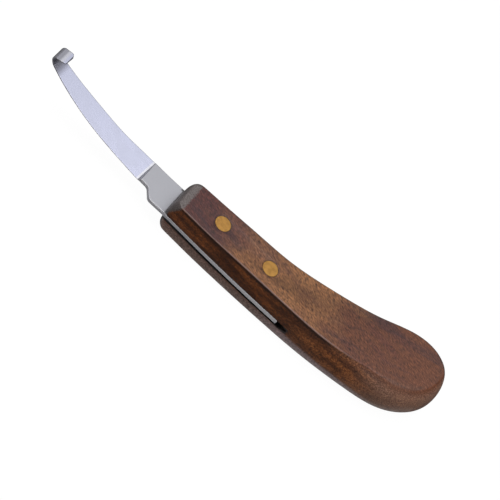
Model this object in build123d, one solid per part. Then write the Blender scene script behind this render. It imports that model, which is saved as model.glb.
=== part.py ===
from build123d import *

# Farrier's hoof knife: a bowed steel blade with a curled tip, its tang riveted in a slotted hardwood handle.
#
# The knife lies on the handle's underside. While it is being built, x runs from the handle's front to its
# butt, y runs across the tang, and z is up from the underside. The finished parts are then moved so that the
# origin is at the middle of the whole knife's underside. All sizes are in millimetres.

import os
from math import asin, cos, degrees, radians, sin, sqrt

# Handle
HANDLE_THICK = 20.0      # underside to top
WIDEST_Z = 9.0           # level at which the handle is widest
KERF_LENGTH = 71.2
KERF_TOP = 10.1
KERF_FLOOR = [           # x, z: the saw cut is close under the tang at the front and slack further in
    (5.0, 7.95),
    (20.0, 7.2),
    (KERF_LENGTH, 6.95),
]
FRONT_BACK_TOP = 3.1     # how far the front face draws back at the top
FRONT_BACK_BOTTOM = 3.8
FRONT_ROUNDNESS = 0.97   # 0 is a slanted flat, 1 is fully rounded into the flats
FRONT_POWER = 3          # 2 is a round front, more is flatter with tighter corners
CORNER_RADIUS = 3.0      # of the two front corners, seen from above
LEVELS = 6               # outlines between the widest level and each flat

# The handle's outline at its widest level, from the front along one side, round the butt and back along the
# other: x, y, then how far the side draws in at the top and at the underside.
OUTLINE = [
    (CORNER_RADIUS, -8.5, 0.4, 1.0),
    (13.0, -9.0, 0.5, 1.1),
    (36.0, -9.8, 1.2, 1.4),
    (62.0, -10.0, 1.5, 1.9),
    (89.0, -9.5, 2.4, 3.2),
    (108.0, -7.4, 4.6, 5.1),
    (122.1, -4.1, 6.3, 6.2),
    (132.2, 2.6, 6.2, 6.3),
    (137.9, 10.8, 5.2, 6.1),
    (139.3, 19.2, 4.4, 5.9),
    (137.4, 26.2, 3.7, 5.6),
    (130.7, 31.6, 3.2, 5.3),
    (120.7, 33.1, 2.9, 5.1),
    (109.3, 30.0, 2.6, 4.9),
    (98.2, 24.7, 2.2, 4.5),
    (83.3, 19.15, 1.6, 4.0),
    (68.3, 14.9, 1.2, 3.3),
    (54.0, 11.8, 0.8, 2.7),
    (36.0, 10.7, 0.7, 2.3),
    (14.0, 9.7, 0.5, 2.0),
    (CORNER_RADIUS, 9.4, 0.4, 2.0),
]

# Blade and tang
TANG_THICK = 2.0               # of the ricasso, and of the tang where it enters the wood
TANG_END = 65.5                # in the kerf, short of its end
TANG_END_THICK = 2.5
TANG_BACK = 8.6                # y of the straight back edge
TANG_NEAR = -8.35              # y of the other edge where the tang leaves the handle
RICASSO_NEAR = -3.6            # y of that edge where it is narrow
STEP_X = (-12.4, -8.8)         # where it steps from narrow to full width
STEP_RADIUS = 2.6
SHOULDER_X = -16.45            # where the ground blade starts, straight across
BOW_START = -4.0
BOW_RADIUS = 185.0
TIP_X = -73.95                 # where the bow ends and the curl starts
BLADE_EDGES = [                # x, y of the near edge, y of the back edge
    (-22.0, -3.4, 8.4),
    (-35.0, -3.15, 7.5),
    (-48.0, -2.95, 7.15),
    (-58.0, -2.4, 6.65),
    (-70.0, -1.25, 6.0),
    (-79.0, 0.1, 5.7),
]
LEG_EDGES = [                  # the same, for the leg that comes back over the blade
    *BLADE_EDGES[:4],
    (-70.3, -1.5, 5.9),
    (-79.0, -1.2, 7.1),
]
LEG_Z = (23.5, 28.0)           # levels between which the one outline turns into the other

# The blade is ground on its hollow side to a wedge, between two lines along the knife: y of the line, how far
# the blade's top face lies below the tang's there, and how long the slope from one face to the other is.
NEAR_GRIND = (-4.0, 1.68, 1.25)
BACK_GRIND = (9.0, 0.15, 0.3)
CURL_ARCS = [(4.1, 74.0), (2.2, 67.0)]    # outside radius and turn in degrees, the tighter bend last
CURL_LEG = 4.5                 # straight end after the curl
LEG_CORNERS = (0.8, 1.5)       # radius of its near and back corners

RIVET_RADIUS = 3.75
RIVETS = {"front_rivet": (21.15, 0.9), "rear_rivet": (48.4, 0.4)}

REACH = 100.0                  # of a cutting block, larger than what it cuts


def drawn_in(z, at_top, at_bottom):
    """How far the side lies inside the widest outline at height z: part of an ellipse, cut off by a flat."""
    if z >= WIDEST_Z:
        inset, height = at_top, HANDLE_THICK - WIDEST_Z
    else:
        inset, height = at_bottom, WIDEST_Z
    share = min(0.995, 0.38 + 0.9 * (inset / height) ** 0.6)
    rise = share * abs(z - WIDEST_Z) / height
    return inset * (1 - sqrt(1 - rise**2)) / (1 - sqrt(1 - share**2))


def front_at(z):
    """x of the handle's front face at height z."""
    if z >= WIDEST_Z:
        back, height = FRONT_BACK_TOP, HANDLE_THICK - WIDEST_Z
    else:
        back, height = FRONT_BACK_BOTTOM, WIDEST_Z
    rise = FRONT_ROUNDNESS * abs(z - WIDEST_Z) / height
    return back * front_round(rise) / front_round(FRONT_ROUNDNESS)


def front_round(rise):
    """How far a superellipse of size 1 has turned in at a given rise."""
    return 1 - (1 - rise**FRONT_POWER) ** (1 / FRONT_POWER)


def outline_points(z):
    """The outline's points at height z, each drawn in square to the outline."""
    last = len(OUTLINE) - 1
    points = []
    for i, (x, y, at_top, at_bottom) in enumerate(OUTLINE):
        before, after = OUTLINE[max(i - 1, 0)], OUTLINE[min(i + 1, last)]
        along = Vector(after[0] - before[0], after[1] - before[1]).normalized()
        inset = drawn_in(z, at_top, at_bottom)
        if i in (0, last):
            points.append(Vector(front_at(z) + CORNER_RADIUS, y - inset if i else y + inset, z))
        else:
            points.append(Vector(x - along.Y * inset, y + along.X * inset, z))
    return points


def outline_at(z):
    """The handle's closed outline at height z, as a face."""
    points = outline_points(z)
    near, back = points[0], points[-1]
    front = front_at(z)
    near_front = Vector(front, near.Y + CORNER_RADIUS, z)
    back_front = Vector(front, back.Y - CORNER_RADIUS, z)
    cut = CORNER_RADIUS * (1 - sqrt(0.5))
    sides = Spline(*points, tangents=[(1, -0.05, 0), (-1, -0.03, 0)])
    back_corner = ThreePointArc(back, Vector(front + cut, back.Y - cut, z), back_front)
    near_corner = ThreePointArc(near_front, Vector(front + cut, near.Y + cut, z), near)
    return Face(Wire([sides, back_corner, Line(back_front, near_front), near_corner]))


def handle_blank():
    """The shaped handle before it is slotted and drilled."""
    turns = [radians(90 * i / LEVELS) for i in range(LEVELS + 1)]
    lower = [WIDEST_Z * (1 - sin(turn)) for turn in reversed(turns)]
    upper = [WIDEST_Z + (HANDLE_THICK - WIDEST_Z) * sin(turn) for turn in turns[1:]]
    return loft([outline_at(z) for z in lower + upper])


def rivet(x, y):
    """A rivet dressed flush with both faces of the handle. Its hole is the same cylinder."""
    return Pos(x, y, HANDLE_THICK / 2) * Cylinder(RIVET_RADIUS, HANDLE_THICK)


def kerf():
    """The saw cut: open at the front and on both sides, with its floor lower towards the rear."""
    floor = [(-REACH, KERF_FLOOR[0][1]), *KERF_FLOOR]
    return across(make_face(Polyline(*floor, (KERF_LENGTH, KERF_TOP), (-REACH, KERF_TOP), close=True)))


def handle():
    """One piece of hardwood with a saw kerf for the tang and two rivet holes."""
    body = handle_blank() - kerf()
    for place in RIVETS.values():
        body -= rivet(*place)
    return body


def across(profile):
    """A side profile in x and z as a solid wider than the knife."""
    return extrude(Plane.XZ * profile, amount=REACH, both=True)


def slope_at(x, depth):
    """How far the bow has turned, in degrees, at x and at a depth below the top of the tang."""
    return degrees(asin((BOW_START - x) / (BOW_RADIUS + depth)))


def bow(depth, first, last):
    """The bow at a depth below the top of the tang, between two turns in degrees, nearer the tip first."""
    return CenterArc((BOW_START, KERF_TOP + BOW_RADIUS), BOW_RADIUS + depth, 270 - first, first - last)


def tang_profile():
    """The tang and ricasso, seen from the side. They share the blade's bow."""
    top = bow(0, slope_at(SHOULDER_X - 1, 0), 0)
    bottom = bow(TANG_THICK, slope_at(SHOULDER_X - 1, TANG_THICK), 0)
    end_top, end_bottom = (TANG_END, KERF_TOP), (TANG_END, KERF_TOP - TANG_END_THICK)
    mouth_bottom = (0, KERF_TOP - TANG_THICK)
    rest = Polyline(top @ 1, end_top, end_bottom, mouth_bottom, bottom @ 1)
    return make_face([top, rest, bottom, Line(bottom @ 0, top @ 0)])


def blade_profile(grind):
    """The ground blade and its curl, seen from the side, along a line where its top face is ground down."""
    _, drop, run = grind
    turn = slope_at(TIP_X, 0)
    thick = TANG_THICK - drop
    bottom = bow(TANG_THICK, turn, slope_at(SHOULDER_X, TANG_THICK))
    top = bow(drop, turn, slope_at(SHOULDER_X - run, drop))
    shoulder = bow(0, slope_at(SHOULDER_X, 0), 0) @ 0
    outside, inside = [], []
    start, angle = bottom @ 0, 270 - turn
    for radius, arc in CURL_ARCS:
        centre = start - Vector(cos(radians(angle)), sin(radians(angle))) * radius
        outside.append(CenterArc(centre, radius, angle, -arc))
        inside.append(CenterArc(centre, radius - thick, angle, -arc))
        start, angle = outside[-1] @ 1, angle - arc
    leg = Vector(sin(radians(angle)), -cos(radians(angle))) * CURL_LEG
    inside_start = inside[-1] @ 1
    end = Polyline(start, start + leg, inside_start + leg, inside_start)
    return make_face([bottom, Polyline(bottom @ 1, shoulder, top @ 1), top, *outside, *inside, end])


def tang():
    """The tang and ricasso. In the kerf the near edge follows the widest outline, flush with the wood."""
    shoulder_near, step_in = (SHOULDER_X, RICASSO_NEAR), (STEP_X[0], RICASSO_NEAR)
    step_out, mouth = (STEP_X[1], TANG_NEAR), (0, TANG_NEAR)
    near_end = (TANG_END, OUTLINE[3][1])
    back_end, shoulder_back = (TANG_END, TANG_BACK), (SHOULDER_X, TANG_BACK)
    in_kerf = Spline(mouth, *[(x, y) for x, y, _, _ in OUTLINE[1:4]], near_end)
    ricasso = Polyline(shoulder_back, shoulder_near, step_in, step_out, mouth)
    plan = make_face([in_kerf, Polyline(near_end, back_end, shoulder_back), ricasso])
    plan = fillet([v for v in plan.vertices() if v.X in STEP_X], STEP_RADIUS)
    return across(tang_profile()) & extrude(plan, amount=REACH, both=True)


def blade_plan(edges, z):
    """The blade's outline from above, at height z."""
    near = Spline((SHOULDER_X, RICASSO_NEAR, z), *[(x, y, z) for x, y, _ in edges])
    back = Spline((SHOULDER_X, TANG_BACK, z), *[(x, y, z) for x, _, y in edges])
    return Face(Wire([near, Line(near @ 1, back @ 1), back, Line(back @ 0, near @ 0)]))


def ground_blade():
    """The ground blade and its curl, from the shoulder to the tip."""
    low, high = LEG_Z
    plans = [(BLADE_EDGES, 0), (BLADE_EDGES, low), (LEG_EDGES, high), (LEG_EDGES, REACH)]
    plan = loft([blade_plan(edges, z) for edges, z in plans], ruled=True)
    near_side = Plane.XZ.offset(-NEAR_GRIND[0]) * blade_profile(NEAR_GRIND)
    back_side = Plane.XZ.offset(-BACK_GRIND[0]) * blade_profile(BACK_GRIND)
    steel = loft([near_side, back_side], ruled=True) & plan
    across_steel = steel.edges().filter_by(lambda edge: edge.length < TANG_THICK)
    leg_corners = across_steel.sort_by(Axis.Z)[-2:].sort_by(Axis.Y)
    for corner, radius in zip(leg_corners, LEG_CORNERS):
        steel = fillet(corner, radius)
    return steel


def blade():
    """One steel piece: curled blade, ricasso and drilled tang."""
    steel = tang() + ground_blade()
    for place in RIVETS.values():
        steel -= rivet(*place)
    return steel


def main():
    parts = {"handle": handle(), "blade": blade()}
    for name, place in RIVETS.items():
        parts[name] = rivet(*place)
    boxes = [part.bounding_box() for part in parts.values()]
    middle_x = (min(box.min.X for box in boxes) + max(box.max.X for box in boxes)) / 2
    middle_y = (min(box.min.Y for box in boxes) + max(box.max.Y for box in boxes)) / 2
    print("origin at", round(middle_x, 3), round(middle_y, 3))
    os.makedirs("parts", exist_ok=True)
    for name, part in parts.items():
        export_step(Pos(-middle_x, -middle_y, 0) * part, f"parts/{name}.step")


main()
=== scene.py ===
import math

import bmesh
import bpy
import numpy as np
from mathutils import Matrix, Vector


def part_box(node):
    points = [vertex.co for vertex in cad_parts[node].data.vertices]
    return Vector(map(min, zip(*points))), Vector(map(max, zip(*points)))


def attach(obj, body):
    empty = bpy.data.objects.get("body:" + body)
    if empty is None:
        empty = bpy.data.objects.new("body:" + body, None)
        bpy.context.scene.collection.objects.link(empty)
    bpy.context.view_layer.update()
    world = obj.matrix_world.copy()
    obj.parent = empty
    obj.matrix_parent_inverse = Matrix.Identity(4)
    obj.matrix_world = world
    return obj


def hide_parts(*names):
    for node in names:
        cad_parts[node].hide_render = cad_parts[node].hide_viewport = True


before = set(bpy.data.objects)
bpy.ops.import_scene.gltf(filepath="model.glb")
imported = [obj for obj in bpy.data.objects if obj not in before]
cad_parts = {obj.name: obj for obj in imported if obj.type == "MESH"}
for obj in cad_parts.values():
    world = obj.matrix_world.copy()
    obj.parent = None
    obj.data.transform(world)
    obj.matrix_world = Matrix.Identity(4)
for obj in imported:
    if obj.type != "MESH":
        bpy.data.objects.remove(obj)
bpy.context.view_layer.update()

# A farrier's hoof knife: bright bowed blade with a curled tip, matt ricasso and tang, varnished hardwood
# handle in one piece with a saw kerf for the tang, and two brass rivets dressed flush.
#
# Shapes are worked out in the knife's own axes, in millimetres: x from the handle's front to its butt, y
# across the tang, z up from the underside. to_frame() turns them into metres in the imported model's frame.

MM = 0.001

# Handle
HANDLE_THICK = 20.0
WIDEST_Z = 9.0            # level at which the handle is widest
KERF_LENGTH = 71.2
KERF_TOP = 10.1
KERF_FLOOR = [(5.0, 7.95), (20.0, 7.2), (KERF_LENGTH, 6.95)]    # x, z
KERF_TAPER = 2.6          # length of the blunt point that its end is drawn to
KERF_BLUNT = 0.33         # share of the kerf's height by which each side of the point comes in
KERF_EDGE = 0.16          # how far the kerf's sawn edges are broken
SANDED = 0.015            # how far the smooth outline lies inside the solid's
FRONT_BACK_TOP = 3.1      # how far the front face draws back at the top
FRONT_BACK_BOTTOM = 3.8
FRONT_POWER = 3.0         # of the superellipse that the front face follows
CORNER_RADIUS = 3.0       # of the two front corners, seen from above
TOP_EDGE = 0.45           # rounding where the side meets the top
UNDER_EDGE = 0.7
CUTTER_REACH = 60.0       # of the kerf's cutter, larger than what it cuts

# The outline at the widest level, from the front along the near side, round the butt and back along the
# other: x, y, then how far the side draws in at the top and at the underside.
OUTLINE = [
    (CORNER_RADIUS, -8.5, 0.4, 1.0),
    (13.0, -9.0, 0.5, 1.1),
    (36.0, -9.8, 1.2, 1.4),
    (62.0, -10.0, 1.5, 1.9),
    (89.0, -9.5, 2.4, 3.2),
    (108.0, -7.4, 4.6, 5.1),
    (122.1, -4.1, 6.3, 6.2),
    (132.2, 2.6, 6.2, 6.3),
    (137.9, 10.8, 5.2, 6.1),
    (139.3, 19.2, 4.4, 5.9),
    (137.4, 26.2, 3.7, 5.6),
    (130.7, 31.6, 3.2, 5.3),
    (120.7, 33.1, 2.9, 5.1),
    (109.3, 30.0, 2.6, 4.9),
    (98.2, 24.7, 2.2, 4.5),
    (83.3, 19.15, 1.6, 4.0),
    (68.3, 14.9, 1.2, 3.3),
    (54.0, 11.8, 0.8, 2.7),
    (36.0, 10.7, 0.7, 2.3),
    (14.0, 9.7, 0.5, 2.0),
    (CORNER_RADIUS, 9.4, 0.4, 2.0),
]

# Blade and tang
TANG_THICK = 2.0
TANG_END = 65.5
TANG_END_THICK = 2.5
TANG_END_CORNER = 0.5           # rounding of the tang's end at its top
TANG_BACK = 8.6                 # y of the straight back edge
TANG_NEAR = -8.35               # y of the near edge where the tang leaves the handle
RICASSO_NEAR = -3.6             # y of that edge where it is narrow
STEP_X = (-12.4, -8.8)          # where it steps from narrow to full width
STEP_RADIUS = 2.6
SHOULDER_X = -16.45             # where the ground blade starts
BOW_START = -4.0
BOW_RADIUS = 185.0
TIP_X = -73.95                  # where the bow ends and the curl starts
BLADE_EDGES = [                 # x, y of the near edge, y of the back edge
    (-22.0, -3.4, 8.4),
    (-35.0, -3.15, 7.5),
    (-48.0, -2.95, 7.15),
    (-58.0, -2.4, 6.65),
    (-70.0, -1.25, 6.0),
    (-79.0, 0.1, 5.7),
]
LEG_EDGES = [                   # the same, for the leg that comes back over the blade
    *BLADE_EDGES[:4],
    (-70.3, -1.5, 5.9),
    (-79.0, -1.2, 7.1),
]
LEG_Z = (23.5, 28.0)            # levels between which the one outline turns into the other
NEAR_GRIND = (-4.0, 1.68, 1.25) # y, drop of the ground face, length of the slope down to it
BACK_GRIND = (9.0, 0.15, 0.3)
CURL_ARCS = [(4.1, 74.0), (2.2, 67.0)]    # outside radius and turn in degrees, the tighter bend last
CURL_LEG = 4.5                  # straight end after the curl
LEG_CORNERS = (0.8, 1.5)        # radius of its near and back corners
STEEL_EDGE = 0.4                # rounding of the steel's long edges
THIN_EDGE = 0.2                 # the same where the steel is thin, as a share of its thickness

# Rivets
RIVET_RADIUS = 3.75
RIVETS = {"front_rivet": (21.15, 0.9), "rear_rivet": (48.4, 0.4)}
HOLE_PLAY = 0.05                # dark line round each rivet
RIM = 0.14                      # rounding of the rivet's rim and of its hole
CROWN = 0.05                    # height of the rivet's crown
HOLE_OVER = 5.0                 # how far the holes' cutters stand out of the handle
ROUND_STEPS = 72                # segments of a rivet and of its hole

# The tang's square end and straight back edge fix the knife's axes in the frame.
TANG_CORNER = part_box("blade")[1]
OFFSET = np.array([TANG_CORNER.x / MM - TANG_END, TANG_CORNER.y / MM - TANG_BACK, 0.0])


def to_frame(points):
    """Points in the knife's axes, in millimetres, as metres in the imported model's frame."""
    return (np.asarray(points, float) + OFFSET) * MM


# ---------------------------------------------------------------- curves

def spline(points, start, end, steps):
    """A smooth curve through the points that leaves and arrives in the given directions."""
    points = np.asarray(points, float)
    lengths = np.linalg.norm(np.diff(points, axis=0), axis=1)
    slopes = np.diff(points, axis=0) / lengths[:, None]
    count = len(points)
    system = np.eye(count)
    wanted = np.zeros_like(points)
    wanted[0] = np.asarray(start, float)[: points.shape[1]]
    wanted[-1] = np.asarray(end, float)[: points.shape[1]]
    for i in range(1, count - 1):
        before, after = lengths[i - 1], lengths[i]
        system[i, i - 1 : i + 2] = after, 2 * (before + after), before
        wanted[i] = 3 * (after * slopes[i - 1] + before * slopes[i])
    speeds = np.linalg.solve(system, wanted)
    places = np.concatenate([[0], np.cumsum(lengths)])
    t = np.linspace(0, places[-1], steps + 1)
    span = np.clip(np.searchsorted(places, t, side="right") - 1, 0, count - 2)
    length = lengths[span]
    share = ((t - places[span]) / length)[:, None]
    length = length[:, None]
    return (
        points[span] * (2 * share**3 - 3 * share**2 + 1)
        + speeds[span] * length * (share**3 - 2 * share**2 + share)
        + points[span + 1] * (3 * share**2 - 2 * share**3)
        + speeds[span + 1] * length * (share**3 - share**2)
    )


def plain_spline(points, steps):
    """A smooth curve that starts and ends along its first and last chords."""
    points = np.asarray(points, float)
    first, last = points[1] - points[0], points[-1] - points[-2]
    return spline(points, first / np.linalg.norm(first), last / np.linalg.norm(last), steps)


def rounded_corner(before, corner, after, radius, steps):
    """Points of the arc that rounds a corner of a polyline."""
    before, corner, after = (np.asarray(p, float) for p in (before, corner, after))
    into = (before - corner) / np.linalg.norm(before - corner)
    out = (after - corner) / np.linalg.norm(after - corner)
    half = math.acos(float(np.clip(into @ out, -1, 1))) / 2
    middle = (into + out) / np.linalg.norm(into + out)
    centre = corner + middle * radius / math.sin(half)
    first = corner + into * radius / math.tan(half) - centre
    last = corner + out * radius / math.tan(half) - centre
    turn = math.pi - 2 * half
    shares = np.linspace(0, 1, steps + 1)[:, None]
    return centre + (first * np.sin((1 - shares) * turn) + last * np.sin(shares * turn)) / math.sin(turn)


# ---------------------------------------------------------------- meshes

def loft_faces(rings, around):
    """Quads between closed rings of points, and a face at each end."""
    faces = [tuple(reversed(range(around)))]
    for k in range(rings - 1):
        for i in range(around):
            j = (i + 1) % around
            faces.append((k * around + i, k * around + j, (k + 1) * around + j, (k + 1) * around + i))
    faces.append(tuple(range((rings - 1) * around, rings * around)))
    return faces


def mesh_object(name, points, faces):
    """A smooth-shaded mesh object, with flat faces where a face has more than four corners."""
    mesh = bpy.data.meshes.new(name)
    mesh.from_pydata(to_frame(points).tolist(), [], faces)
    mesh.validate()
    mesh.polygons.foreach_set("use_smooth", [len(p.vertices) <= 4 for p in mesh.polygons])
    piece = bpy.data.objects.new(name, mesh)
    bpy.context.scene.collection.objects.link(piece)
    return piece


def lathe(name, place, profile, segments):
    """A closed turned solid on an upright axis at place. The profile is radii and heights, lowest first."""
    x, y = place
    angles = np.linspace(0, 2 * math.pi, segments, endpoint=False)
    points = [(x + r * math.cos(a), y + r * math.sin(a), z) for r, z in profile for a in angles]
    return mesh_object(name, points, loft_faces(len(profile), segments))


def cut(piece, cutters):
    """Subtracts the cutters from the piece's mesh and removes them."""
    for cutter in cutters:
        step = piece.modifiers.new("cut", "BOOLEAN")
        step.operation = "DIFFERENCE"
        step.solver = "EXACT"
        step.object = cutter
    bpy.context.view_layer.update()
    done = bpy.data.meshes.new_from_object(piece.evaluated_get(bpy.context.evaluated_depsgraph_get()))
    piece.modifiers.clear()
    piece.data = done
    for cutter in cutters:
        bpy.data.objects.remove(cutter)


SAME_PLACE = 0.002        # points closer than this are welded
SHARP = 40                # least angle, in degrees, of an edge that is broken
CREASE = 38               # least angle, in degrees, of an edge that isn't shaded smooth


def break_edges(piece, wanted, width):
    """Rounds the sharp edges whose two ends both satisfy wanted(x, y, z), in the knife's axes."""
    work = bmesh.new()
    work.from_mesh(piece.data)
    bmesh.ops.remove_doubles(work, verts=work.verts, dist=SAME_PLACE * MM)
    edges = []
    for edge in work.edges:
        ends = [np.array(v.co) / MM - OFFSET for v in edge.verts]
        if edge.calc_face_angle(0) > math.radians(SHARP) and all(wanted(*end) for end in ends):
            edges.append(edge)
    bmesh.ops.bevel(
        work, geom=edges, offset=width * MM, segments=2, profile=0.5, affect="EDGES", clamp_overlap=True
    )
    work.to_mesh(piece.data)
    work.free()


def shade(piece):
    """Smooth shading, except across creases."""
    piece.data.set_sharp_from_angle(angle=math.radians(CREASE))


# ---------------------------------------------------------------- handle

SIDE_STEPS = 18           # levels between the widest one and each flat
EDGE_STEPS = 4            # levels in each rounded edge
OUTLINE_STEPS = 380
CORNER_STEPS = 8
FRONT_STEPS = 18

# The side is part of a quarter ellipse, from the widest level to the flat. The share of the ellipse's height
# that is used grows with how far the side draws in.
SIDE_SHARE = 0.38
SIDE_GROWTH = 0.9
SIDE_POWER = 0.6
SIDE_LIMIT = 0.995


def drawn_in(z, inset, height):
    """How far the side lies inside the widest outline at height z."""
    share = min(SIDE_LIMIT, SIDE_SHARE + SIDE_GROWTH * (inset / height) ** SIDE_POWER)
    rise = share * np.abs(z - WIDEST_Z) / height
    return inset * (1 - np.sqrt(1 - rise**2)) / (1 - math.sqrt(1 - share**2))


def front_share(z, height):
    """How far the front face has drawn back at height z, from 0 at the widest level to 1 at the flat."""
    rise = np.minimum(1, np.abs(z - WIDEST_Z) / height)
    return 1 - (1 - rise**FRONT_POWER) ** (1 / FRONT_POWER)


def half_profile(law, flat, radius):
    """Heights, and law's insets at them, from the widest level to the flat, whose edge is rounded."""
    start = flat + math.copysign(radius, WIDEST_Z - flat)
    sides = WIDEST_Z + (start - WIDEST_Z) * np.sin(np.linspace(0, math.pi / 2, SIDE_STEPS + 1)[:-1])
    t = np.linspace(0, 1, EDGE_STEPS + 1)
    heights = np.concatenate([sides, (1 - t) ** 2 * start + (1 - (1 - t) ** 2) * flat])
    at_flat = law(np.float64(flat))
    edge = (1 - t) ** 2 * law(np.float64(start)) + 2 * t * (1 - t) * at_flat + t**2 * (at_flat + radius)
    return heights, np.concatenate([law(sides), edge])


def whole_profile(law_above, law_below):
    """Heights and insets from the underside to the top."""
    up_z, up = half_profile(law_above, HANDLE_THICK, TOP_EDGE)
    down_z, down = half_profile(law_below, 0.0, UNDER_EDGE)
    return np.concatenate([down_z[:0:-1], up_z]), np.concatenate([down[:0:-1], up])


def side_insets(at_top, at_bottom):
    """Insets of one point of the outline at every level."""
    return whole_profile(
        lambda z: drawn_in(z, at_top, HANDLE_THICK - WIDEST_Z),
        lambda z: drawn_in(z, at_bottom, WIDEST_Z),
    )[1]


START_SLOPE = (1, -0.05)        # direction of the near side at the front
END_SLOPE = (-1, -0.03)         # direction of the back side where it comes back to the front


def handle_rings():
    """Rings of points round the handle, from the underside to the top."""
    heights, fronts = whole_profile(
        lambda z: FRONT_BACK_TOP * front_share(z, HANDLE_THICK - WIDEST_Z),
        lambda z: FRONT_BACK_BOTTOM * front_share(z, WIDEST_Z),
    )
    outline = np.array(OUTLINE)
    insets = np.array([side_insets(top, bottom) for top, bottom in outline[:, 2:]])
    along = np.gradient(outline[:, :2], axis=0)
    along /= np.linalg.norm(along, axis=1)[:, None]
    inward = np.stack([-along[:, 1], along[:, 0]], 1)
    rings = []
    for k, (z, front) in enumerate(zip(heights, fronts)):
        points = outline[:, :2] + inward * (insets[:, k, None] + SANDED)
        points[0] = front + CORNER_RADIUS, outline[0, 1] + insets[0, k]
        points[-1] = front + CORNER_RADIUS, outline[-1, 1] - insets[-1, k]
        sides = spline(points, START_SLOPE, END_SLOPE, OUTLINE_STEPS)
        near, back = points[0][1], points[-1][1]
        back_corner = rounded_corner(points[-1], (front, back), (front, 0), CORNER_RADIUS, CORNER_STEPS)
        near_corner = rounded_corner((front, 0), (front, near), points[0], CORNER_RADIUS, CORNER_STEPS)
        across = np.linspace(back - CORNER_RADIUS, near + CORNER_RADIUS, FRONT_STEPS + 1)[1:-1]
        face = np.stack([np.full_like(across, front), across], 1)
        ring = np.concatenate([sides[:-1], back_corner, face, near_corner[:-1]])
        rings.append(np.column_stack([ring, np.full(len(ring), z)]))
    return rings


def kerf_floor(x):
    """Height of the kerf's floor at x."""
    return float(np.interp(x, *np.transpose(KERF_FLOOR)))


def kerf_cutter():
    """A prism that fills the saw kerf and runs out of its open front and sides."""
    floor = [(-CUTTER_REACH, KERF_FLOOR[0][1]), *KERF_FLOOR[:-1]]
    taper_x = KERF_LENGTH - KERF_TAPER
    taper_z = KERF_BLUNT * (KERF_TOP - kerf_floor(taper_x))
    end = [(taper_x, kerf_floor(taper_x)), (KERF_LENGTH, kerf_floor(taper_x) + taper_z)]
    end += [(KERF_LENGTH, KERF_TOP - taper_z), (taper_x, KERF_TOP)]
    profile = [*floor, *end, (-CUTTER_REACH, KERF_TOP)]
    points = [(x, y, z) for y in (CUTTER_REACH, -CUTTER_REACH) for x, z in profile]
    return mesh_object("kerf", points, loft_faces(2, len(profile)))


def rivet_holes():
    """Cutters for the two holes, a little wider than the rivets."""
    radius = RIVET_RADIUS + HOLE_PLAY
    profile = [(radius, -HOLE_OVER), (radius, HANDLE_THICK + HOLE_OVER)]
    return [lathe(name + "_hole", place, profile, ROUND_STEPS) for name, place in RIVETS.items()]


AT_LEVEL = 0.01           # how near a point is to a level that it counts as on
AT_HOLE = 1.0             # how near a point is to a hole's wall that it counts as on


def in_hole(x, y):
    """Whether a point is at one of the rivet holes."""
    return any(math.hypot(x - place[0], y - place[1]) < RIVET_RADIUS + AT_HOLE for place in RIVETS.values())


def on_kerf_edge(x, y, z):
    """Whether a point is on the kerf's floor or top, clear of its tapered end and of the rivet holes."""
    if x >= KERF_LENGTH - KERF_TAPER or in_hole(x, y):
        return False
    return min(abs(z - kerf_floor(x)), abs(z - KERF_TOP)) < AT_LEVEL


def on_hole_rim(x, y, z):
    """Whether a point is where a rivet hole comes out."""
    return min(abs(z), abs(z - HANDLE_THICK)) < AT_LEVEL and in_hole(x, y)


def make_handle():
    """The shaped wood with its kerf and rivet holes."""
    rings = handle_rings()
    piece = mesh_object("handle_wood", np.concatenate(rings), loft_faces(len(rings), len(rings[0])))
    cut(piece, [kerf_cutter(), *rivet_holes()])
    break_edges(piece, on_kerf_edge, KERF_EDGE)
    break_edges(piece, on_hole_rim, RIM)
    shade(piece)
    return piece


# ---------------------------------------------------------------- blade

PLAN_STEPS = 200                # points along each smooth stretch of an edge, seen from above
BEND_STEPS = 24                 # points round each bend of the ricasso's step


def edge_functions(edges):
    """Two functions of x: y of the near edge and y of the back edge, from the tip to the tang's end."""
    ends = [(x, near) for x, near, _ in reversed(edges)]
    near_blade = plain_spline([*ends, (SHOULDER_X, RICASSO_NEAR)], PLAN_STEPS)
    step_in, step_out = (STEP_X[0], RICASSO_NEAR), (STEP_X[1], TANG_NEAR)
    first = rounded_corner((SHOULDER_X, RICASSO_NEAR), step_in, step_out, STEP_RADIUS, BEND_STEPS)
    second = rounded_corner(step_in, step_out, (0, TANG_NEAR), STEP_RADIUS, BEND_STEPS)
    flush = [(x, y) for x, y, _, _ in OUTLINE[1:4]]
    kerf_shade = plain_spline([(0, TANG_NEAR), *flush, (TANG_END, flush[-1][1])], PLAN_STEPS)
    near = np.concatenate([near_blade, first, second, kerf_shade])
    ends = [(x, back) for x, _, back in reversed(edges)]
    back_blade = plain_spline([*ends, (SHOULDER_X, TANG_BACK)], PLAN_STEPS)
    back = np.concatenate([back_blade, [(TANG_END, TANG_BACK)]])
    return (lambda x: np.interp(x, near[:, 0], near[:, 1])), (lambda x: np.interp(x, back[:, 0], back[:, 1]))


def ground(y, column):
    """Drop of the ground face, column 1, or length of the slope down to it, column 2, at y."""
    share = (y - NEAR_GRIND[0]) / (BACK_GRIND[0] - NEAR_GRIND[0])
    return NEAR_GRIND[column] + share * (BACK_GRIND[column] - NEAR_GRIND[column])


# A station is a cross-section of the steel: a point level with the top of the tang and the direction down
# through the steel, both as x and z, the thickness there, and how far the near and the back edge draw in.

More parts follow.
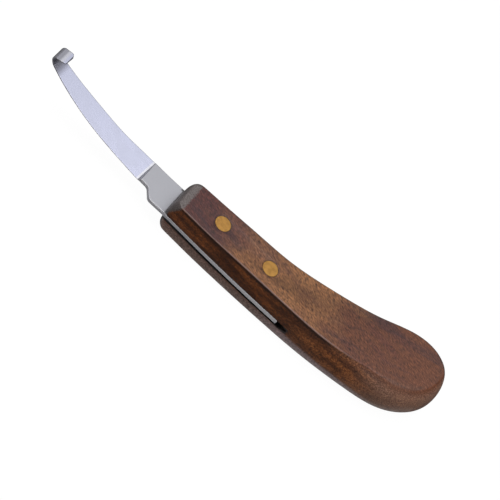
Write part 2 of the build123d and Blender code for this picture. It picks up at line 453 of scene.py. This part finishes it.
CURL_STEPS = 33                 # stations round each arc of the curl
LEG_STEPS = 5                   # gaps between the stations along the leg
CORNER_ARC = 12                 # gaps between those round its corners
SHOULDER_RUN = 2.0              # stretch before the shoulder that holds its slope
RUNS = [                        # x where stations start to be spaced otherwise, and how many follow
    (TIP_X, 119),
    (SHOULDER_X - SHOULDER_RUN, 48),
    (SHOULDER_X + 0.4, 5),
    (STEP_X[0] - 1.8, 56),
    (STEP_X[1] + 1.6, 8),
    (0.0, 59),
    (TANG_END - TANG_END_CORNER, 0),
]


def curl_stations():
    """Stations round the curl and along its leg, from the bow to the leg's end."""
    found = []
    turn = math.asin((BOW_START - TIP_X) / BOW_RADIUS)
    outer = BOW_RADIUS + TANG_THICK
    start = np.array([BOW_START - outer * math.sin(turn), KERF_TOP + BOW_RADIUS - outer * math.cos(turn)])
    angle = 1.5 * math.pi - turn
    for radius, arc in CURL_ARCS:
        centre = start - radius * np.array([math.cos(angle), math.sin(angle)])
        for step in np.linspace(angle, angle - math.radians(arc), CURL_STEPS + 1)[1:]:
            out = np.array([math.cos(step), math.sin(step)])
            found.append((centre + out * (radius - TANG_THICK), out, TANG_THICK, (0, 0)))
        angle -= math.radians(arc)
        start = centre + radius * np.array([math.cos(angle), math.sin(angle)])
    along = np.array([math.sin(angle), -math.cos(angle)])
    last, out = found[-1][0], found[-1][1]
    widest = max(LEG_CORNERS)
    round_off = widest * (1 - np.cos(np.linspace(math.pi / 2, 0, CORNER_ARC + 1)))
    for back in (*np.linspace(CURL_LEG, widest, LEG_STEPS + 1)[1:-1], *round_off):
        drawn = [radius - math.sqrt(radius**2 - max(0.0, radius - back) ** 2) for radius in LEG_CORNERS]
        found.append((last + along * (CURL_LEG - back), out, TANG_THICK, drawn))
    return found


def bow_stations():
    """Stations along the blade, ricasso and tang, closest where the shape changes."""
    pairs = zip(RUNS, RUNS[1:])
    xs = [np.linspace(start, end, count, endpoint=False) for (start, count), (end, _) in pairs]
    xs.append(TANG_END - TANG_END_CORNER * (1 - np.sin(np.linspace(0, math.pi / 2, 7))))
    found = []
    for x in np.concatenate(xs):
        slope = math.asin(max(0.0, BOW_START - x) / BOW_RADIUS)
        top = np.array([x, KERF_TOP + BOW_RADIUS * (1 - math.cos(slope))])
        down = np.array([-math.sin(slope), -math.cos(slope)])
        thick = TANG_THICK + (TANG_END_THICK - TANG_THICK) * max(0.0, x) / TANG_END
        found.append((top, down, thick, (0, 0)))
    return found


def top_drop(x, y):
    """How far the top face lies below the tang's: the grind, and the rounding of the tang's end."""
    past = max(0.0, x - TANG_END + TANG_END_CORNER)
    end = TANG_END_CORNER - math.sqrt(max(0.0, TANG_END_CORNER**2 - past**2))
    reached = 1 if x < SHOULDER_X - SHOULDER_RUN else np.clip((SHOULDER_X - x) / ground(y, 2), 0, 1)
    return end + ground(y, 1) * reached


EDGE_POINTS = 5                 # points round each rounded edge of a section
FLAT_POINTS = 9                 # points across each of its two faces
FLAT_GAP = 0.1                  # between a face's end points and the edges' roundings


def section(width, thick, drop):
    """How far across from the near edge, and how deep, going round. drop is the depth of the top face.

    The four corners are rounded. At a thin edge the two roundings are smaller.
    """
    arc = np.linspace(0, math.pi / 2, EDGE_POINTS)
    near_round = min(STEEL_EDGE, THIN_EDGE * (thick - drop(0.0)))
    flat_width = width - near_round - STEEL_EDGE - 2 * FLAT_GAP
    flat = near_round + FLAT_GAP + flat_width * np.linspace(0, 1, FLAT_POINTS)
    near_in, near_down = near_round * (1 - np.sin(arc)), near_round * (1 - np.cos(arc))
    back_in, back_down = STEEL_EDGE * (1 - np.sin(arc)), STEEL_EDGE * (1 - np.cos(arc))
    across = np.concatenate([
        flat, width - back_in, width - back_in[::-1],
        flat[::-1], near_in, near_in[::-1],
    ])
    depth = np.concatenate([
        drop(flat), drop(width - back_in) + back_down, thick - back_down[::-1],
        np.full(len(flat), thick), thick - near_down, drop(near_in[::-1]) + near_down[::-1],
    ])
    return across, depth


def make_blade():
    """Blade, ricasso and tang as one piece of steel."""
    near_at, back_at = edge_functions(BLADE_EDGES)
    leg_near_at, leg_back_at = edge_functions(LEG_EDGES)
    rings = []
    for start, through, thick, drawn in (*reversed(curl_stations()), *bow_stations()):
        x = start[0]
        near, back = float(near_at(x)), float(back_at(x))
        across, depth = section(back - near, thick, lambda inwards: top_drop(x, near + inwards))
        flat = start + through * depth[:, None]
        share = across / (back - near)
        leg = np.interp(flat[:, 1], LEG_Z, (0, 1))
        near_y = near_at(flat[:, 0]) * (1 - leg) + leg_near_at(flat[:, 0]) * leg + drawn[0]
        back_y = back_at(flat[:, 0]) * (1 - leg) + leg_back_at(flat[:, 0]) * leg - drawn[1]
        rings.append(np.column_stack([flat[:, 0], near_y + share * (back_y - near_y), flat[:, 1]]))
    piece = mesh_object("blade_steel", np.concatenate(rings[::-1]), loft_faces(len(rings), len(rings[0])))
    cut(piece, rivet_holes())
    shade(piece)
    return piece


# ---------------------------------------------------------------- rivets

def make_rivet(name):
    """A brass rivet, its ends peened and dressed flush, with a very low crown."""
    turns = np.linspace(0, math.pi / 2, 4)
    rim = [(RIVET_RADIUS - RIM + RIM * math.sin(a), CROWN + RIM - RIM * math.cos(a)) for a in turns]
    dome = [(RIVET_RADIUS * r, CROWN * r * r) for r in (0.02, 0.2, 0.4, 0.6, 0.8, 0.9)]
    low = [*dome, *rim]
    high = [(r, HANDLE_THICK - z) for r, z in reversed(low)]
    return lathe(name + "_brass", RIVETS[name], low + high, ROUND_STEPS)


# ---------------------------------------------------------------- materials

class Shader:
    """A material's node tree, with short calls for the nodes that the finishes share."""

    def __init__(self, name):
        self.material = bpy.data.materials.new(name)
        self.material.use_nodes = True
        self.tree = self.material.node_tree
        self.tree.nodes.clear()
        self.output = self.tree.nodes.new("ShaderNodeOutputMaterial")
        self.surface = self.tree.nodes.new("ShaderNodeBsdfPrincipled")
        self.tree.links.new(self.surface.outputs[0], self.output.inputs["Surface"])
        self.place = self.tree.nodes.new("ShaderNodeTexCoord").outputs["Object"]

    def link(self, value, socket):
        """Sets a socket to a number, a colour or another node's output."""
        if isinstance(value, bpy.types.NodeSocket):
            self.tree.links.new(value, socket)
        else:
            socket.default_value = value

    def millimetres(self, scale=(1, 1, 1), turn=0):
        """Coordinates in the knife's axes, in millimetres, turned by degrees about z and then stretched."""
        whole = self.tree.nodes.new("ShaderNodeMapping")
        whole.inputs["Scale"].default_value = (1 / MM,) * 3
        whole.inputs["Location"].default_value = tuple(-OFFSET)
        self.tree.links.new(self.place, whole.inputs["Vector"])
        turned = self.tree.nodes.new("ShaderNodeMapping")
        turned.inputs["Rotation"].default_value = (0, 0, math.radians(turn))
        self.tree.links.new(whole.outputs[0], turned.inputs["Vector"])
        stretched = self.tree.nodes.new("ShaderNodeVectorMath")
        stretched.operation = "MULTIPLY"
        self.tree.links.new(turned.outputs[0], stretched.inputs[0])
        stretched.inputs[1].default_value = scale
        return stretched.outputs[0]

    def noise(self, where, scale=1.0, detail=3.0, roughness=0.5, distortion=0.0):
        node = self.tree.nodes.new("ShaderNodeTexNoise")
        self.tree.links.new(where, node.inputs["Vector"])
        node.inputs["Scale"].default_value = scale
        node.inputs["Detail"].default_value = detail
        node.inputs["Roughness"].default_value = roughness
        node.inputs["Distortion"].default_value = distortion
        return node.outputs[0]

    def math(self, kind, a, b=0.0, c=0.0):
        node = self.tree.nodes.new("ShaderNodeMath")
        node.operation = kind
        for value, socket in zip((a, b, c), node.inputs):
            self.link(value, socket)
        return node.outputs[0]

    def times(self, *values):
        """The product of the values."""
        product = values[0]
        for value in values[1:]:
            product = self.math("MULTIPLY", product, value)
        return product

    def distance(self, x, y, place):
        """How far x and y are from the upright axis at place."""
        squares = [self.math("POWER", self.math("SUBTRACT", at, to), 2) for at, to in zip((x, y), place)]
        return self.math("POWER", self.math("ADD", *squares), 0.5)

    def fit(self, value, low, high, to_low=0.0, to_high=1.0, smooth=True):
        """A value between low and high, clamped and mapped to another range."""
        node = self.tree.nodes.new("ShaderNodeMapRange")
        node.interpolation_type = "SMOOTHSTEP" if smooth else "LINEAR"
        for value, name in ((value, "Value"), (low, "From Min"), (high, "From Max"),
                            (to_low, "To Min"), (to_high, "To Max")):
            self.link(value, node.inputs[name])
        return node.outputs[0]

    def mix(self, share, a, b, blend="MIX"):
        """A blend of two colours."""
        node = self.tree.nodes.new("ShaderNodeMix")
        node.data_type = "RGBA"
        node.blend_type = blend
        self.link(share, node.inputs["Factor"])
        colours = [socket for socket in node.inputs if socket.type == "RGBA"]
        self.link(a, colours[0])
        self.link(b, colours[1])
        return next(socket for socket in node.outputs if socket.type == "RGBA")

    def tint(self, colour, factors):
        """The colour with its red, green and blue multiplied by the factors."""
        return self.mix(1.0, colour, factors, "MULTIPLY")

    def split(self, vector):
        node = self.tree.nodes.new("ShaderNodeSeparateXYZ")
        self.tree.links.new(vector, node.inputs[0])
        return node.outputs

    def normal(self):
        """The surface's own direction, as x, y and z."""
        return self.split(self.tree.nodes.new("ShaderNodeNewGeometry").outputs["Normal"])

    def bump(self, height, depth):
        """A bump of the given depth in millimetres."""
        node = self.tree.nodes.new("ShaderNodeBump")
        node.inputs["Strength"].default_value = 1.0
        node.inputs["Distance"].default_value = depth * MM
        self.tree.links.new(height, node.inputs["Height"])
        self.tree.links.new(node.outputs[0], self.surface.inputs["Normal"])

    def set(self, **values):
        """Sets the shader's own sockets, named with _ for a space."""
        for name, value in values.items():
            self.link(value, self.surface.inputs[name.replace("_", " ")])


def grey(value):
    return (value, value, value, 1)


WOOD_PLUM = (0.125, 0.036, 0.030, 1)
WOOD_VIOLET = (0.062, 0.028, 0.034, 1)
WOOD_GOLD = (0.410, 0.175, 0.064, 1)
WOOD_RED = (0.205, 0.068, 0.030, 1)
WOOD_DARK = (0.018, 0.008, 0.006, 1)
# painted shade inside the kerf
WOOD_KERF_SHADE = (0.004, 0.003, 0.003, 1)
WOOD_SIDE = (0.110, 0.034, 0.012, 1)
WOOD_GLOW = (0.370, 0.115, 0.030, 1)
# painted sheen: the pale grey reflected by the lower cheek
WOOD_CHEEK_SHEEN = (0.400, 0.240, 0.190, 1)
WOOD_END = (0.185, 0.160, 0.155, 1)
# painted highlight on the near top edge
WOOD_EDGE_HIGHLIGHT = (0.300, 0.200, 0.180, 1)
# painted sheen on the rounded side at the butt
WOOD_BUTT_SHEEN = (0.440, 0.240, 0.165, 1)
WOOD_LIGHTENED = (1.45, 1.65, 2.05, 1)      # factors that turn the side lighter and browner towards the butt
WOOD_DUST = (0.050, 0.042, 0.040, 1)        # dust and filler packed in the kerf's end, mottling its painted shade


# Where the wood's colours come in, in the knife's axes
CLOUD_DRIFT = 14                # how far along the knife the clouds move them
GOLD_X = (8, 62)
RED_X = (66, 96)
STREAK_X = (60, 100)
LIGHTER_X = (50, 74)
# where the painted sheen on the butt's side comes in
BUTT_SHEEN_X = (98, 124)
STRAIGHT_X = (108, 80)          # where the painted shade and highlight lines along the edges end
# where the painted sheen on the lower cheek comes in
CHEEK_SHEEN_Z = (7.5, 5.5)
POROUS_X = 68                   # middle of the stretch with the most pores
POROUS_REACH = (18, 55)
END_GRAIN_X = 0.3               # how far the end grain reaches along the side at the tang
END_GRAIN_SLANT = 0.46          # and how much further for each millimetre up
RAGGED = 0.6


def top_colour(s, x, clouds):
    """Plum at the front, golden over the middle, red at the butt, with violet patches and streaks."""
    patches = s.noise(s.millimetres((0.035, 0.15, 0.15), turn=12), detail=4, roughness=0.6)
    streaks = s.noise(s.millimetres((0.022, 0.22, 0.22), turn=-18), detail=4, roughness=0.6)
    along = s.math("ADD", x, s.fit(clouds, 0.3, 0.7, -CLOUD_DRIFT, CLOUD_DRIFT, smooth=False))
    top = s.mix(s.fit(patches, 0.45, 0.62, 0, 0.9), WOOD_PLUM, WOOD_VIOLET)
    top = s.mix(s.fit(along, *GOLD_X), top, WOOD_GOLD)
    top = s.mix(s.fit(along, *RED_X), top, WOOD_RED)
    top = s.mix(s.fit(patches, 0.5, 0.68, 0, 0.45), top, WOOD_PLUM)
    return s.mix(s.times(s.fit(streaks, 0.46, 0.70, 0, 0.6), s.fit(x, *STREAK_X)), top, WOOD_VIOLET)


def side_colour(s, x, z):
    """Glowing reddish brown with darker bars, lighter towards the butt, with a painted pale sheen below the
    kerf and a painted sheen on the butt's side.
    """
    glow = s.noise(s.millimetres((0.045, 0.16, 0.26), turn=5), detail=4, roughness=0.6)
    bars = s.noise(s.millimetres((1.1, 0.3, 0.12)), detail=3, roughness=0.6)
    side = s.mix(s.fit(glow, 0.40, 0.68), WOOD_SIDE, WOOD_GLOW)
    side = s.mix(s.fit(bars, 0.45, 0.72, 0, 0.45), side, WOOD_SIDE)
    # painted sheen below the kerf
    side = s.mix(s.fit(z, *CHEEK_SHEEN_Z), side, WOOD_CHEEK_SHEEN)
    side = s.mix(s.fit(x, *LIGHTER_X), side, s.tint(side, WOOD_LIGHTENED))
    # painted sheen on the butt's side
    return s.mix(s.fit(x, *BUTT_SHEEN_X, 0, 0.85), side, WOOD_BUTT_SHEEN)


def figured(s, base, x, fibres):
    """The colour with its fibres, flecks and short slanting pores, and where the pores are."""
    flecks = s.noise(s.millimetres((0.55, 2.6, 2.6), turn=24), detail=3, roughness=0.6)
    dots = s.noise(s.millimetres((0.45, 2.4, 2.4), turn=22), detail=2, roughness=0.5)
    porous = s.fit(s.math("ABSOLUTE", s.math("SUBTRACT", x, POROUS_X)), *POROUS_REACH, 1, 0.5)
    pores = s.times(s.fit(dots, 0.53, 0.62), porous)
    base = s.mix(s.fit(fibres, 0.35, 0.65, 0.0, 0.5), base, s.tint(base, grey(0.6)))
    base = s.mix(s.fit(flecks, 0.42, 0.58, 0.0, 0.8), base, s.tint(base, grey(0.42)))
    base = s.mix(s.fit(flecks, 0.46, 0.34, 0.0, 0.5), base, s.tint(base, grey(1.7)))
    return s.mix(s.times(pores, 0.7), base, WOOD_DARK), pores


def end_grain_zone(s, where, x, z, facing):
    """Where end grain shows: on the front, and on the sides up to a ragged line that slants back upwards."""
    noise = s.noise(where, scale=1.1, detail=4, roughness=0.65)
    ragged = s.fit(noise, 0.3, 0.7, -RAGGED, RAGGED, smooth=False)
    rise = s.math("MAXIMUM", s.math("SUBTRACT", z, KERF_TOP + 0.5), 0)
    edge_x = s.math("ADD", END_GRAIN_X, s.times(rise, END_GRAIN_SLANT))
    past = s.math("ADD", s.math("SUBTRACT", x, edge_x), ragged)
    on_side = s.times(s.fit(past, 0.6, -0.6), s.fit(z, 10, 10.4))
    return s.math("MAXIMUM", on_side, s.fit(facing[0], -0.5, -0.75))


def end_grain(s):
    """Greyish brown with dark pores."""
    pores = s.noise(s.millimetres((1.2, 3.2, 3.2)), detail=3, roughness=0.6)
    return s.mix(s.fit(pores, 0.42, 0.68, 0, 0.75), WOOD_END, WOOD_DARK)


def painted_edge_lines(s, base, x, z, facing, front):
    """The colour with a painted pale highlight on the near top edge, painted shade just under it and painted
    shade by the far edge.
    """
    top = HANDLE_THICK
    straight = s.times(s.fit(x, *STRAIGHT_X), s.math("SUBTRACT", 1, front))
    near_side = s.times(s.fit(facing[1], -0.1, -0.4), straight)
    # painted shade: the dark band just under the near top edge
    under_edge_shade = s.times(s.fit(z, top - 2.1, top - 1.2), s.fit(z, top - 0.35, top - 0.55))
    base = s.mix(s.times(under_edge_shade, near_side, 0.75), base, WOOD_DARK)
    # painted highlight: the pale line on the rounded near top edge
    on_edge = s.times(s.fit(z, top - 0.6, top - 0.3), s.fit(facing[2], 0.995, 0.9))
    edge_highlight = s.times(on_edge, s.fit(facing[1], 0.0, -0.1), straight)
    base = s.mix(s.times(edge_highlight, 0.7), base, WOOD_EDGE_HIGHLIGHT)
    # painted shade: the dark line along the far top edge
    far_edge_shade = s.times(s.fit(z, top - 2.0, top - 0.3), s.fit(facing[1], 0.05, 0.2))
    return s.mix(s.times(far_edge_shade, 0.45), base, WOOD_DARK)


def darkened(s, base, x, y, z, clouds):
    """The colour with a darker ring round each rivet, painted shade inside the kerf, and dust packed in the
    kerf's end.
    """
    for place in RIVETS.values():
        ring = s.fit(s.distance(x, y, place), RIVET_RADIUS + 0.7, RIVET_RADIUS + 0.1, 0, 0.4)
        base = s.mix(ring, base, WOOD_DARK)
    level = s.math("ABSOLUTE", s.math("SUBTRACT", z, (KERF_TOP + kerf_floor(KERF_LENGTH)) / 2))
    # painted shade: black inside the kerf, where it lies in shadow under the tang
    kerf_shade = s.times(s.fit(level, 1.75, 1.55), s.fit(x, KERF_LENGTH + 1, KERF_LENGTH - 0.2))
    packed = s.times(s.fit(x, TANG_END + 1.5, TANG_END + 4), s.fit(clouds, 0.3, 0.6, 0.4, 1))
    return s.mix(kerf_shade, base, s.mix(packed, WOOD_KERF_SHADE, WOOD_DUST))


def wood_finish():
    """Varnished hardwood: cloudy colour, fine fibres, short pores, glowing sides, greyer end grain."""
    s = Shader("rosewood")
    where = s.millimetres()
    x, y, z = s.split(where)
    facing = s.normal()
    clouds = s.noise(s.millimetres((0.05, 0.09, 0.09)), detail=3)
    fibres = s.noise(s.millimetres((0.12, 2.4, 2.4), turn=4), detail=4, roughness=0.65)
    smudges = s.noise(s.millimetres((0.12, 0.2, 0.2)), detail=4, roughness=0.6)

    upright = s.fit(s.math("ABSOLUTE", facing[2]), 0.45, 0.92, 1, 0)
    base = s.mix(upright, top_colour(s, x, clouds), side_colour(s, x, z))
    base, pores = figured(s, base, x, fibres)
    front = end_grain_zone(s, where, x, z, facing)
    base = s.mix(front, base, end_grain(s))
    base = painted_edge_lines(s, base, x, z, facing, front)
    base = darkened(s, base, x, y, z, clouds)

    rough = s.math("ADD", s.fit(smudges, 0.3, 0.7, 0.34, 0.46), s.times(pores, 0.2))
    rough = s.math("ADD", rough, s.times(front, 0.2))
    s.set(Base_Color=base, Roughness=rough, IOR=1.4, Coat_Weight=0.12, Coat_Roughness=0.2)
    s.bump(s.math("SUBTRACT", s.times(fibres, 0.35), s.times(pores, 0.8)), 0.05)
    return s.material


STEEL_BRIGHT = (0.59, 0.605, 0.74, 1)
STEEL_SMUDGED = (0.535, 0.55, 0.69, 1)
# painted highlight, along the shoulder and across the curl's leg
STEEL_HIGHLIGHT = (0.72, 0.72, 0.77, 1)
STEEL_MATT = (0.47, 0.47, 0.50, 1)
STEEL_SPECKLED = (0.40, 0.40, 0.43, 1)
# painted light: the steep edge faces of ricasso and tang made paler
STEEL_STEEP_LIT = (0.86, 0.86, 0.90, 1)
STEEL_MOUTH_DARK = (0.05, 0.045, 0.04, 1)
STEEL_SHADED = (0.20, 0.20, 0.24, 1)
# painted shade on the leg's outer face
STEEL_LEG_SHADE = (0.36, 0.36, 0.40, 1)


# Where the steel's shades come in, in the knife's axes
CURL_X = (-69.0, -72.8)         # the shade inside the curl
CURL_Z = (27.0, 26.0)
LEG_TOP_Z = (26.0, 27.2)        # the leg's outer face
LEG_SHADE_X = (-72.2, -74.2)
LEG_BAND_X = ((-74.6, -73.6), (-72.0, -73.2))    # both sides of the painted highlight band across it
MOUTH_X = (-0.55, -0.2)         # the darkening where the tang enters the wood
MOUTH_CORNER_X = (-1.5, -0.8)
MOUTH_CORNER_Y = (TANG_BACK - 1.6, TANG_BACK - 0.9)


def bright_steel(s, x, z, smudge, shoulder_highlight, in_curl):
    """Ground steel: faint smudges, a painted highlight along the shoulder, painted shade in the curl, and
    painted shade and a painted highlight band on its leg.
    """
    bright = s.mix(s.fit(smudge, 0.35, 0.7, 0, 0.6), STEEL_BRIGHT, STEEL_SMUDGED)
    # painted highlight along the shoulder's fillet
    bright = s.mix(shoulder_highlight, bright, STEEL_HIGHLIGHT)
    bright = s.mix(s.times(in_curl, 0.85), bright, STEEL_SHADED)
    on_leg = s.fit(z, *LEG_TOP_Z)
    # painted shade on the leg's outer face, which turns away from the light
    bright = s.mix(s.times(on_leg, s.fit(x, *LEG_SHADE_X)), bright, STEEL_LEG_SHADE)
    # painted highlight band across the leg's curved face
    leg_highlight = s.times(*(s.fit(x, *side) for side in LEG_BAND_X))
    return s.mix(s.times(on_leg, leg_highlight, 0.7), bright, STEEL_HIGHLIGHT)


def matt_steel(s, x, y, facing, grain, steep):
    """Finely speckled ricasso and tang with steep edge faces painted paler to stand in for the light they
    catch, darker where the tang enters the wood.
    """
    dull = s.mix(s.fit(grain, 0.35, 0.65, 0, 0.35), STEEL_MATT, STEEL_SPECKLED)
    # painted light on the steep edge faces
    dull = s.mix(steep, dull, STEEL_STEEP_LIT)
    # darker along where the tang enters the wood and at its back corner
    junction_line = s.times(s.fit(x, *MOUTH_X), s.fit(grain, 0.4, 0.55, 0.4, 1))
    corner = s.times(s.fit(x, *MOUTH_CORNER_X), s.fit(y, *MOUTH_CORNER_Y))
    mouth = s.times(s.math("MAXIMUM", junction_line, corner), s.fit(facing[2], 0.5, 0.8))
    return s.mix(s.times(mouth, 0.85), dull, STEEL_MOUTH_DARK)


def metal_share(s, x, facing, steep, in_curl):
    """How metallic the steel is: less on the near edges and deep in the curl, which reflect little."""
    edge = s.times(steep, s.fit(facing[1], -0.5, -0.8))
    ground_edge = s.times(edge, s.fit(x, SHOULDER_X - 0.5, SHOULDER_X - 1, 0, 0.55))
    kerf_edge = s.times(edge, s.fit(x, 0, 45, 0, 0.6))
    share = s.math("SUBTRACT", 1, s.math("ADD", ground_edge, kerf_edge))
    return s.times(share, s.fit(s.times(in_curl, s.fit(x, -72.0, -74.0)), 0, 1, 1, 0.3))


def steel_finish():
    """Bright ground blade with faint smudges; matt ricasso and tang with a fine grain."""
    s = Shader("tool_steel")
    x, y, z = s.split(s.millimetres())
    facing = s.normal()
    smudge = s.noise(s.millimetres((0.10, 0.25, 0.2), turn=12), detail=2, roughness=0.5, distortion=0.4)
    grain = s.noise(s.millimetres((5, 5, 5)), detail=4, roughness=0.7)

    grinds = (NEAR_GRIND[0], BACK_GRIND[0], NEAR_GRIND[2], BACK_GRIND[2])
    past_slope = s.math("ADD", x, s.fit(y, *grinds, smooth=False))
    matt = s.fit(past_slope, SHOULDER_X - 0.15, SHOULDER_X + 0.1)
    # where the painted highlight along the shoulder's fillet lies
    shoulder_highlight = s.fit(past_slope, SHOULDER_X - 1.2, SHOULDER_X - 0.7)
    steep = s.fit(facing[2], 0.75, 0.35)
    in_curl = s.times(s.fit(x, *CURL_X), s.fit(z, *CURL_Z))

    bright = bright_steel(s, x, z, smudge, shoulder_highlight, in_curl)
    dull = matt_steel(s, x, y, facing, grain, steep)
    rough_bright = s.fit(smudge, 0.3, 0.7, 0.22, 0.30)
    rough_dull = s.math("ADD", s.fit(grain, 0.3, 0.7, 0.38, 0.46), s.times(steep, 0.3))
    rough = s.math("ADD", rough_bright, s.times(matt, s.math("SUBTRACT", rough_dull, rough_bright)))
    s.set(Base_Color=s.mix(matt, bright, dull), Roughness=rough)
    s.set(Metallic=metal_share(s, x, facing, steep, in_curl))
    s.bump(s.times(grain, s.times(matt, s.math("SUBTRACT", 1, steep))), 0.01)
    return s.material


BRASS = (0.50, 0.27, 0.075, 1)
BRASS_DARK = (0.27, 0.14, 0.045, 1)


def brass_finish(name, place, turn):
    """Brass dressed with the wood: fine straight scratches, darker towards the rim."""
    s = Shader(name)
    x, y, _ = s.split(s.millimetres())
    scratches = s.noise(s.millimetres((0.5, 7.0, 1.0), turn=turn), detail=4, roughness=0.7)
    stain = s.noise(s.millimetres((0.5, 0.5, 0.5)), detail=4, roughness=0.6)
    colour = s.mix(s.fit(stain, 0.35, 0.7, 0, 0.55), BRASS, BRASS_DARK)
    at_rim = s.fit(s.distance(x, y, place), RIVET_RADIUS - 0.3, RIVET_RADIUS - 0.02, 0, 0.6)
    colour = s.mix(at_rim, colour, BRASS_DARK)
    s.set(Base_Color=colour, Metallic=1.0, Roughness=s.fit(scratches, 0.3, 0.7, 0.38, 0.56))
    s.bump(scratches, 0.02)
    return s.material


def floor_finish():
    """A plain pale floor with a faint glow, so that it stays close to white."""
    s = Shader("floor")
    s.set(Base_Color=grey(0.05), Roughness=1.0, Specular_IOR_Level=0.0)
    s.set(Emission_Color=grey(1.0), Emission_Strength=0.97)
    return s.material


# ---------------------------------------------------------------- scene

VIEW_AZIMUTH = -5.18            # degrees, as in a plan of the knife
VIEW_ELEVATION = 48.92
VIEW_ROLL = 46.57               # how far the knife is seen to lie slanting
VIEW_DISTANCE = 0.900           # metres
VIEW_CENTRE = (6.45, -3.44, 10.83)    # millimetres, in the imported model's frame
LENS = 153.07                   # millimetres
SENSOR_WIDTH = 36


def make_camera():
    """The camera, level to the knife's plan but turned about its own axis."""
    azimuth, elevation = math.radians(VIEW_AZIMUTH), math.radians(VIEW_ELEVATION)
    back = Vector((
        math.sin(azimuth) * math.cos(elevation),
        -math.cos(azimuth) * math.cos(elevation),
        math.sin(elevation),
    ))
    data = bpy.data.cameras.new("camera")
    data.lens = LENS
    data.sensor_width = SENSOR_WIDTH
    data.clip_start, data.clip_end = 0.01, 20
    camera = bpy.data.objects.new("camera", data)
    bpy.context.scene.collection.objects.link(camera)
    turn = (-back).to_track_quat("-Z", "Y").to_matrix() @ Matrix.Rotation(math.radians(VIEW_ROLL), 3, "Z")
    camera.matrix_world = Matrix.Translation(Vector(VIEW_CENTRE) * MM + back * VIEW_DISTANCE) @ turn.to_4x4()
    bpy.context.scene.camera = camera


UP = (0, 0, 1)
DOWN = (0, 0, -1)


def soft_light(name, place, size, power, colour=(1, 1, 1), aim=None):
    """A soft rectangular light that faces the knife, or where aim points."""
    data = bpy.data.lights.new(name, "AREA")
    data.shape = "RECTANGLE"
    data.size, data.size_y = size
    data.energy = power
    data.color = colour
    light = bpy.data.objects.new(name, data)
    light.location = place
    light.rotation_mode = "QUATERNION"
    light.rotation_quaternion = (Vector(aim) if aim else -Vector(place)).to_track_quat("-Z", "Y")
    bpy.context.scene.collection.objects.link(light)


# The floor's and backdrop's section, in metres: radii of the floor's rings, then the bend up to the wall
FLOOR_RINGS = (0.5, 1.5)
FLOOR_RADIUS = 5.0
WALL_RADIUS = 6.0
WALL_HEIGHT = 4.0


def make_floor():
    """A pale floor that curves up into a backdrop. It casts no shadow or reflection on the knife."""
    bend = WALL_RADIUS - FLOOR_RADIUS
    turns = np.linspace(0, math.pi / 2, 9)
    profile = [(radius, 0.0) for radius in FLOOR_RINGS]
    profile += [(FLOOR_RADIUS + bend * math.sin(a), bend - bend * math.cos(a)) for a in turns]
    profile.append((WALL_RADIUS, WALL_HEIGHT))
    floor = lathe("floor", (0, 0), [(r / MM, z / MM) for r, z in profile], 96)
    work = bmesh.new()
    work.from_mesh(floor.data)
    lid = [face for face in work.faces if face.calc_center_median().z > 0.9 * WALL_HEIGHT]
    bmesh.ops.delete(work, geom=lid, context="FACES")
    bmesh.ops.reverse_faces(work, faces=work.faces)
    work.to_mesh(floor.data)
    work.free()
    floor.data.materials.append(floor_finish())
    floor.visible_glossy = False
    floor.visible_diffuse = False
    floor.visible_shadow = False


def light_scene():
    """Large soft lights over and behind the knife, weaker ones at its end, before and under it."""
    soft_light("rear", (-0.16, 0.95, 0.85), (2.08, 1.3), 7.0, (0.97, 0.98, 1.0), DOWN)
    soft_light("top", (0.0, 0.0, 0.85), (1.8, 0.6), 7.5, (1.0, 0.99, 0.98), DOWN)
    soft_light("end", (-1.3, 1.0, 0.15), (1.4, 1.1), 1.9)
    soft_light("fill", (0.2, -1.4, 0.7), (1.0, 0.6), 5, (1.0, 0.96, 0.91))
    soft_light("under", (0.0, 0.0, -0.6), (1.6, 0.5), 0.9, aim=UP)
    world = bpy.data.worlds.new("studio")
    world.use_nodes = True
    background = world.node_tree.nodes["Background"]
    background.inputs["Color"].default_value = (0.95, 0.96, 1.0, 1)
    background.inputs["Strength"].default_value = 0.09
    bpy.context.scene.world = world
    bpy.context.scene.view_settings.view_transform = "Standard"


def stand_for(piece, node, material):
    """The piece takes a CAD node's place, rides on the knife and gets its finish."""
    piece.data.materials.clear()
    piece.data.materials.append(material)
    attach(piece, "root")
    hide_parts(node)


stand_for(make_handle(), "handle", wood_finish())
stand_for(make_blade(), "blade", steel_finish())
for rivet_name, rivet_turn in (("front_rivet", 35), ("rear_rivet", -20)):
    finish = brass_finish(rivet_name + "_finish", RIVETS[rivet_name], rivet_turn)
    stand_for(make_rivet(rivet_name), rivet_name, finish)
make_floor()
light_scene()
make_camera()
